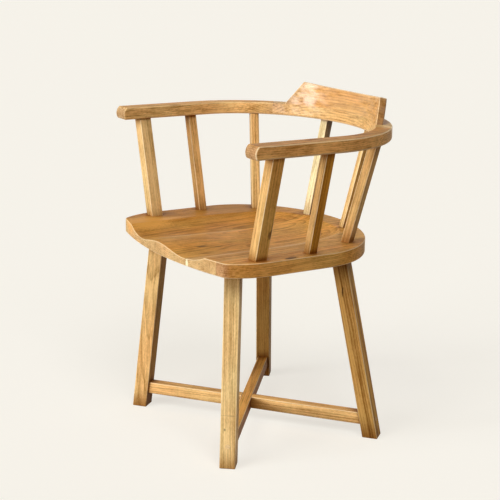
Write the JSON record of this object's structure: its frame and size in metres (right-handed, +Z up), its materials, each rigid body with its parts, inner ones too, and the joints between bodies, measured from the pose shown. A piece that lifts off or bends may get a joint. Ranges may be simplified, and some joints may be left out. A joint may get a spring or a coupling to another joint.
{
  "type": "captains chair",
  "caption": "Low-backed wooden armchair with a saddled board seat, splayed square legs joined by crossed stretchers, leaning uprights, a curved arm bow and a leaning crest.",
  "frame": {"origin": "centre of the chair's overall box in plan, at floor level", "axes": "+Z up, +X to the sitter's left, +Y to the back; the arms' front ends face -Y"},
  "size_m": [0.625, 0.5231, 0.7432],
  "materials": {
    "seat_wood": "satin oil",
    "leg_wood": "satin oil",
    "upright_wood": "satin oil",
    "bow_wood": "satin oil",
    "dowel_wood": "plain",
    "screw_steel": "zinc plated"
  },
  "bodies": {
    "root": {"arm_joint_dowels": "dowel_wood", "arm_left": "bow_wood", "arm_post_left": "upright_wood", "arm_post_right": "upright_wood", "arm_right": "bow_wood", "back_rail": "bow_wood", "crest_dowels": "dowel_wood", "crest_rail": "bow_wood", "leg_front_left": "leg_wood", "leg_front_right": "leg_wood", "leg_rear_left": "leg_wood", "leg_rear_right": "leg_wood", "screw_plugs": "dowel_wood", "seat_board_1": "seat_wood", "seat_board_2": "seat_wood", "seat_board_3": "seat_wood", "seat_board_4": "seat_wood", "seat_board_5": "seat_wood", "seat_board_6": "seat_wood", "spindle_corner_left": "upright_wood", "spindle_corner_right": "upright_wood", "spindle_rear_left": "upright_wood", "spindle_rear_right": "upright_wood", "spindle_side_left": "upright_wood", "spindle_side_right": "upright_wood", "stretcher_lower": "leg_wood", "stretcher_screws": "screw_steel", "stretcher_upper": "leg_wood"}
  },
  "joints": []
}
